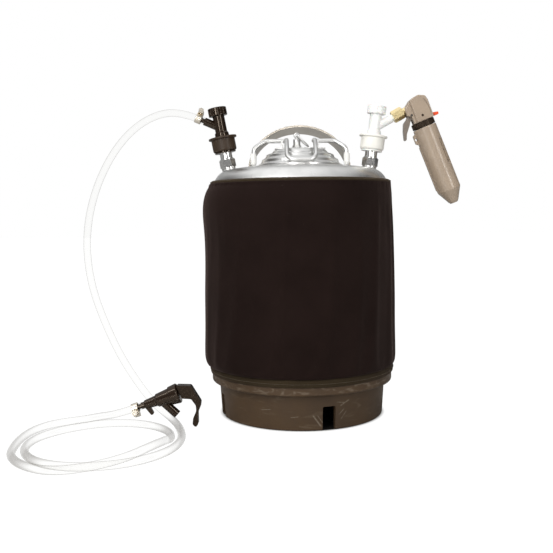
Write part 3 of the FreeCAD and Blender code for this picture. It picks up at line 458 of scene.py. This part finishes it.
def wall_faces(rings, around, closed=False):
    """Faces from each ring of points to the next, and from the last to the first if closed."""
    faces = []
    for r in range(rings if closed else rings - 1):
        here, above = r * around, (r + 1) % rings * around
        for i in range(around):
            j = (i + 1) % around
            faces.append((here + i, here + j, above + j, above + i))
    return faces


def cap_faces(rings, around):
    """One face across the first ring of points and one across the last."""
    return [tuple(range(around - 1, -1, -1)), tuple((rings - 1) * around + k for k in range(around))]


def ring_mesh(name, rows, around, closed_section):
    """Mesh of rows of points round the keg; rows[i](angle) gives each row's points."""
    points = [row(TAU * i / around) for row in rows for i in range(around)]
    return mesh_from(name, points, wall_faces(len(rows), around, closed_section))


def tube_along(points, radius, sides=6):
    """Points and faces of a capped round tube along points, thinner at its ends."""
    verts, count = [], len(points)
    for i, point in enumerate(points):
        along = (points[min(i + 1, count - 1)] - points[max(i - 1, 0)]).normalized()
        helper = Vector((0, 0, 1)) if abs(along.z) < 0.9 else Vector((1, 0, 0))
        side = along.cross(helper).normalized()
        up = side.cross(along)
        size = radius * (0.55 if i in (0, count - 1) else 1.0)
        for k in range(sides):
            a = TAU * k / sides
            verts.append(point + size * (side * math.cos(a) + up * math.sin(a)))
    return verts, wall_faces(count, sides) + cap_faces(count, sides)


def joined(parts):
    """Points and faces of several parts as one."""
    verts, faces = [], []
    for part_verts, part_faces in parts:
        base = len(verts)
        verts += part_verts
        faces += [tuple(base + i for i in face) for face in part_faces]
    return verts, faces


# ---- hose ------------------------------------------------------------------------------
def drop_points():
    """Out of the black coupler's arm, and down in one wide bow to the floor, in mm."""
    return [(-124.55, 0, 385.1), (-150.2, 0, 396.2), (-184, 0, 396.5), (-221, 0, 375.5),
            (-252, -3, 336), (-274, -8, 283), (-282, -13, 228), (-275, -19, 172),
            (-256, -26, 121), (-232, -34, 73), (-196, -41, 22), (-164, -66, 4.75),
            (-150, -110, 4.75), (-143.5, -148, 4.75)]


# Turns from the coil's start, radius and height over the floor, all in mm but the turns.
COIL_STATIONS = [(0.0, 95.5, 0.0), (0.12, 89.0, 0.0), (0.26, 84.0, 0.0), (0.52, 79.0, 0.0),
                 (0.66, 76.0, 0.0), (0.76, 81.5, 0.0), (0.84, 85.5, 0.0), (0.93, 86.0, 0.0),
                 (1.0, 82.5, 1.0), (1.06, 82.5, 9.0), (1.14, 88.0, 12.5), (1.22, 97.0, 6.0),
                 (1.30, 99.5, 0.0), (1.52, 93.0, 0.0), (1.60, 97.0, 0.0)]
COIL_TURNS, COIL_STEPS_PER_TURN = 1.56, 16
COIL_START = math.radians(7.0)


def station(turn):
    """Radius and height of the coil after that many turns, eased between the stations."""
    for (a, r0, h0), (b, r1, h1) in zip(COIL_STATIONS, COIL_STATIONS[1:]):
        if turn <= b:
            share = (turn - a) / (b - a)
            share = share * share * (3 - 2 * share)
            return r0 + (r1 - r0) * share, h0 + (h1 - h0) * share
    return COIL_STATIONS[-1][1:]


def coil_points():
    """Clockwise from above; the second turn climbs over the first near the front right."""
    # The curve runs a little inside its control points, so these stand out by that much
    outward = 1.0 / (0.75 + 0.25 * math.cos(TAU / COIL_STEPS_PER_TURN))
    points = []
    for i in range(1, int(COIL_TURNS * COIL_STEPS_PER_TURN)):
        turn = i / COIL_STEPS_PER_TURN
        radius, height = station(turn)
        angle = COIL_START - TAU * turn
        points.append((COIL_CENTRE.x / MM + radius * outward * math.cos(angle),
                       COIL_CENTRE.y / MM + radius * outward * math.sin(angle), HOSE_R / MM + height))
    return points


def tail_points():
    """From the coil's outer turn up to the tap's barb, in mm."""
    return [(-330.5, -176, 4.75), (-333.5, -142, 4.75), (-331, -111, 4.75), (-320, -85, 4.75),
            (-302, -69.5, 4.75), (-279, -66, 6.5), (-256, -74, 12.5), (-229.7, -87, 18.8),
            (-200.4, -88, 28.9)]


def make_hose(finish):
    """One smooth round tube through the drop, the coil and the tail."""
    route = drop_points() + coil_points() + tail_points()
    curve = bpy.data.curves.new("beer_hose", "CURVE")
    curve.dimensions = "3D"
    spline = curve.splines.new("NURBS")
    spline.points.add(len(route) - 1)
    for control, (x, y, z) in zip(spline.points, route):
        control.co = (x * MM, y * MM, z * MM, 1.0)
    spline.order_u, spline.use_endpoint_u = 3, True
    spline.resolution_u = 12
    spline.use_smooth = True
    curve.bevel_depth, curve.bevel_resolution = HOSE_R, 6
    curve.use_fill_caps = True
    hose = add_object("beer_hose", curve, finish, "keg")
    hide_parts("hose_drop", "hose_coil", "hose_tail")


# ---- jacket ----------------------------------------------------------------------------
AROUND = 192
# Radii of the two sewn edges and the heights over which the sides curve in to them
SEAM_LOW, SEAM_HIGH = 119.6 * MM, 117.9 * MM
ROUND_LOW, ROUND_HIGH = 17.0 * MM, 25.0 * MM
# Height and reach of the soft folds near the bottom and the top, in metres
LOW_FOLD, HIGH_FOLD = (0.086, 0.019), (0.272, 0.026)
# (radius, height) outlines of the bound edges, in mm
TOP_HEM = [(117.9, 301.6), (118.5, 302.5), (118.3, 304.0), (117.3, 305.4), (115.9, 306.3), (114.5, 306.6),
           (113.4, 306.2), (113.6, 305.4), (114.6, 304.7), (115.5, 303.4), (115.9, 301.8), (116.1, 300.8)]
BOTTOM_HEM = [(119.9, 57.8), (120.8, 57.2), (121.4, 58.2), (121.6, 60.4), (121.5, 63.2), (121.0, 65.6),
              (120.3, 67.2), (119.4, 67.6), (117.6, 67.5), (116.2, 67.3), (116.2, 66.3), (118.6, 66.0),
              (119.7, 64.8), (119.7, 60.2)]
STITCH_COUNT, STITCH_R, SEAM_THREAD_R = 330, 0.24 * MM, 0.30 * MM


def fold(z, height, reach):
    """1 at a fold's height, fading to 0 past its reach."""
    return math.exp(-(((z - height) / reach) ** 2))


def bulge(angle, z):
    """How far the jacket stands off its plain round shape, in metres."""
    left = (0.5 - 0.5 * math.cos(angle)) ** 2
    right = (0.5 + 0.5 * math.cos(angle)) ** 3
    low_fold, high_fold = fold(z, *LOW_FOLD), fold(z, *HIGH_FOLD)
    spot = Vector((math.cos(angle) * 1.1, math.sin(angle) * 1.1, z * 7.5))
    wave = noise.noise(spot) * 1.9 + noise.noise(spot * 2.7 + Vector((3.1, 0.4, 7.7))) * 0.7
    lean = left * (4.2 * high_fold + 1.4 * low_fold + 1.1) + right * (1.0 * low_fold - 1.8 * high_fold - 0.4)
    return (lean + wave) * MM


def jacket_rows():
    """(radius, height) up the outside, from the bottom seam to the top seam, in metres."""
    low_steps, side_steps, high_steps = 10, 40, 12
    rows = []
    for i in range(low_steps + 1):
        a = math.pi / 2 * i / low_steps
        rows.append((SEAM_LOW + (JACKET_SIDE_R - SEAM_LOW) * math.sin(a),
                     JACKET_LOW + ROUND_LOW * (1 - math.cos(a))))
    straight_low, straight_high = JACKET_LOW + ROUND_LOW, JACKET_HIGH - ROUND_HIGH
    for i in range(1, side_steps):
        rows.append((JACKET_SIDE_R, straight_low + (straight_high - straight_low) * i / side_steps))
    for i in range(high_steps + 1):
        a = math.pi / 2 * i / high_steps
        rows.append((SEAM_HIGH + (JACKET_SIDE_R - SEAM_HIGH) * math.cos(a),
                     straight_high + ROUND_HIGH * math.sin(a)))
    return rows


def low_edge(angle):
    """The bottom hem hangs a little lower at the left and wanders slightly."""
    return (-2.2 * (0.5 - 0.5 * math.cos(angle)) + 0.5 * math.sin(2 * angle + 0.6)) * MM


def jacket_row(radius, z):
    """One ring of the jacket as a function of the angle; its seams keep to the plain circle."""
    span = JACKET_HIGH - JACKET_LOW
    share_up = (z - JACKET_LOW) / span
    free = max(0.0, math.sin(math.pi * min(1.0, max(0.0, share_up)))) ** 0.35

    def point(angle):
        r = radius + bulge(angle, z) * free
        drop = low_edge(angle) * (1.0 - share_up) ** 3
        return Vector((JACKET_X * free + r * math.cos(angle), r * math.sin(angle), z + drop))

    return point


def simulate_jacket(shell):
    """Lets the tube of fabric settle between its two sewn edges, then caps how far it moved."""
    cap, last_frame = 0.0032, 14
    held_from_edge = (1.0, 0.9, 0.5, 0.2, 0.05)
    rest = [v.co.copy() for v in shell.data.vertices]
    rows = len(rest) // AROUND
    pin = shell.vertex_groups.new(name="pin")
    for r in range(rows):
        edge = min(r, rows - 1 - r, len(held_from_edge) - 1)
        pin.add(range(r * AROUND, (r + 1) * AROUND), held_from_edge[edge], "REPLACE")
    cloth = shell.modifiers.new("settle", "CLOTH")
    settings = cloth.settings
    settings.quality, settings.mass = 5, 0.25
    settings.tension_stiffness = settings.compression_stiffness = 18.0
    settings.shear_stiffness, settings.bending_stiffness = 8.0, 2.0
    settings.vertex_group_mass, settings.pin_stiffness = "pin", 1.0
    settings.shrink_min = -0.012
    settings.use_pressure, settings.uniform_pressure_force = True, 0.6
    settings.effector_weights.gravity = 0.6
    cloth.collision_settings.use_collision = False
    cloth.collision_settings.use_self_collision = False
    cloth.point_cache.frame_start, cloth.point_cache.frame_end = 1, last_frame
    for number in range(1, last_frame + 1):
        bpy.context.scene.frame_set(number)
    settled = shell.evaluated_get(bpy.context.evaluated_depsgraph_get())
    moved = [v.co.copy() for v in settled.to_mesh().vertices]
    settled.to_mesh_clear()
    shell.modifiers.remove(cloth)
    bpy.context.scene.frame_set(1)
    for vertex, start, end in zip(shell.data.vertices, rest, moved):
        step = end - start
        if step.length > cap:
            step *= cap / step.length
        vertex.co = start + step
    shell.vertex_groups.clear()


def make_jacket(finish, hem_finish, thread_finish):
    """Sleeve of one sheet with bound edges, their stitches and the seam up the back."""
    rows = [jacket_row(radius, z) for radius, z in jacket_rows()]
    shell = add_object("jacket_shell", ring_mesh("jacket_shell", rows, AROUND, False), finish, "keg")
    simulate_jacket(shell)
    thick = shell.modifiers.new("neoprene", "SOLIDIFY")
    thick.thickness, thick.offset = 3.9 * MM, -1.0
    fine = shell.modifiers.new("fine", "SUBSURF")
    fine.levels = fine.render_levels = 1

    top = hem_band("jacket_top_hem", hem_finish, TOP_HEM, 0.0)
    bottom = hem_band("jacket_bottom_hem", hem_finish, BOTTOM_HEM, 1.0)
    threads = [stitches("jacket_top_stitches", thread_finish, 117.85, 304.7, 0.0, 0.6),
               stitches("jacket_bottom_stitches", thread_finish, 121.62, 62.0, 1.0, 0.0),
               back_seam(thread_finish)]
    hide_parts("jacket")


def hem_band(name, finish, section, follow_low):
    """Bound edge swept round the keg; section is (radius, height) in mm, and follow_low says how far
    it follows the bottom edge's wander."""
    def row(radius, z):
        def point(angle):
            wander = 0.35 * math.sin(3 * angle + z) + 0.25 * math.sin(7 * angle + 2 * z)
            r = (radius + 0.25 * wander) * MM
            lift = low_edge(angle) * follow_low + 0.3 * wander * MM
            return Vector((r * math.cos(angle), r * math.sin(angle), z * MM + lift))
        return point

    mesh = ring_mesh(name, [row(radius, z) for radius, z in section], AROUND, True)
    band = add_object(name, mesh, finish, "keg")
    smooth = band.modifiers.new("smooth", "SUBSURF")
    smooth.levels = smooth.render_levels = 1
    return band


def stitches(name, finish, radius, z, follow_low, rise):
    """Row of short threads round a hem, each one dipping into the fabric at its ends."""
    proud, sunk = 0.34, -0.25
    parts = []
    for i in range(STITCH_COUNT):
        start = TAU * i / STITCH_COUNT
        points = []
        for share in (0.08, 0.22, 0.5, 0.64, 0.78):
            angle = start + TAU / STITCH_COUNT * share
            out = radius + (proud if 0.1 < share < 0.7 else sunk)
            lift = low_edge(angle) * follow_low
            points.append(Vector((out * MM * math.cos(angle), out * MM * math.sin(angle),
                                  (z + rise * (share - 0.4)) * MM + lift)))
        parts.append(tube_along(points, STITCH_R))
    return add_object(name, mesh_from(name, *joined(parts)), finish, "keg")


def back_seam(finish):
    """Flat zigzag seam up the back, where the sheet's ends meet."""
    steps, half_width = 150, 2.2 * MM
    low, high = JACKET_LOW + 7 * MM, JACKET_HIGH - 9 * MM
    points = []
    for i in range(steps):
        z = low + (high - low) * i / (steps - 1)
        side = half_width * (1 if i % 2 else -1)
        angle = math.pi / 2 + side / JACKET_SIDE_R
        spot = jacket_row(profile_radius(z), z)(angle)
        outward = Vector((math.cos(angle), math.sin(angle), 0))
        points.append(spot + outward * 0.25 * MM)
    mesh = mesh_from("jacket_back_seam", *tube_along(points, SEAM_THREAD_R))
    return add_object("jacket_back_seam", mesh, finish, "keg")


def profile_radius(z):
    """Plain radius of the jacket's outside at a height."""
    rows = jacket_rows()
    for (r0, z0), (r1, z1) in zip(rows, rows[1:]):
        if z <= z1:
            return r0 + (r1 - r0) * (z - z0) / (z1 - z0)
    return rows[-1][0]


# ---- small fittings ---------------------------------------------------------------------
# In mm in the charger's frame: the cover's edge as (x, z) on both faces of the head, the middle of
# its socket screw and that screw's (radius, y) profile, and the clip's (distance out, z) line
COVER_EDGE, COVER_FACE = ((9.4, 31.4), (11.0, 26.0), (12.2, 20.0), (12.5, 14.0), (12.1, 7.0)), 12.50
SCREW_X, SCREW_Z = 0.9, 10.7
SCREW_PROFILE = ((1.55, -12.46), (1.55, -12.62), (1.35, -12.68), (1.00, -12.68), (0.90, -12.58),
                 (0.0, -12.58))
CLIP_LINE = ((13.1, -29.6), (14.9, -30.6), (15.1, -34.0), (14.9, -42.0), (15.2, -50.0), (14.9, -54.4),
             (13.1, -55.4))
CLIP_HALF, CLIP_THICK = 2.75, 0.35


def charger_point(x, y, z):
    """A point given in mm in the charger's own leaning frame."""
    turn = Matrix.Rotation(CHARGER_LEAN, 3, "Y")
    return CHARGER_AT + turn @ Vector((x, y, z)) * MM


def make_charger_parting(finish):
    """Parting line of the head's cover, on both faces."""
    lines = []
    for y in (-COVER_FACE, COVER_FACE):
        lines.append(tube_along([charger_point(x, y, z) for x, z in COVER_EDGE], 0.22 * MM))
    mesh = mesh_from("charger_parting", *joined(lines))
    add_object("charger_parting", mesh, finish, "charger")


def make_holder_clip(finish):
    """Bent strip that stands just proud of the floor of the holder's scoop."""
    section = ((0.0, -CLIP_HALF), (0.0, CLIP_HALF), (-CLIP_THICK, CLIP_HALF), (-CLIP_THICK, -CLIP_HALF))
    verts = []
    for radius, z in CLIP_LINE:
        for out, y in section:
            x = radius + out
            verts.append(charger_point(x * math.cos(SCOOP_TURN) - y * math.sin(SCOOP_TURN),
                                       x * math.sin(SCOOP_TURN) + y * math.cos(SCOOP_TURN), z))
    faces = wall_faces(len(CLIP_LINE), len(section)) + cap_faces(len(CLIP_LINE), len(section))
    mesh = mesh_from("holder_clip", verts, faces, smooth=False)
    add_object("holder_clip", mesh, finish, "holder")


def make_charger_screw(finish):
    """Socket screw in the head's front face: its profile turned round the screw's axis."""
    verts, sides = [], 24
    for radius, y in SCREW_PROFILE:
        for k in range(sides):
            a = TAU * k / sides
            verts.append(charger_point(SCREW_X + radius * math.cos(a), y, SCREW_Z + radius * math.sin(a)))
    mesh = mesh_from("charger_screw", verts, wall_faces(len(SCREW_PROFILE), sides))
    add_object("charger_screw", mesh, finish, "charger")


def finish_nodes(made):
    """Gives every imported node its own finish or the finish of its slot."""
    slot_of = {part["node"]: part["material_slot"] for part in frame["record"]["subparts"]}
    made["gas_post"] = made["liquid_post"]
    for name, node in frame["nodes"].items():
        node.data.materials.clear()
        node.data.materials.append(made.get(name) or made[slot_of[name]])


def main():
    set_camera()
    set_studio()
    made = finishes()
    finish_nodes(made)
    make_hose(made["clear_vinyl"])
    thread = plastic("thread", (0.085, 0.064, 0.040), 0.6)
    binding = knit("jacket_binding", (0.027, 0.019, 0.010), 420.0)
    make_jacket(made["jacket_neoprene"], binding, thread)
    make_charger_parting(made["matte_black_plastic"])
    make_holder_clip(made["taupe_plastic"])
    make_charger_screw(made["matte_black_plastic"])


main()
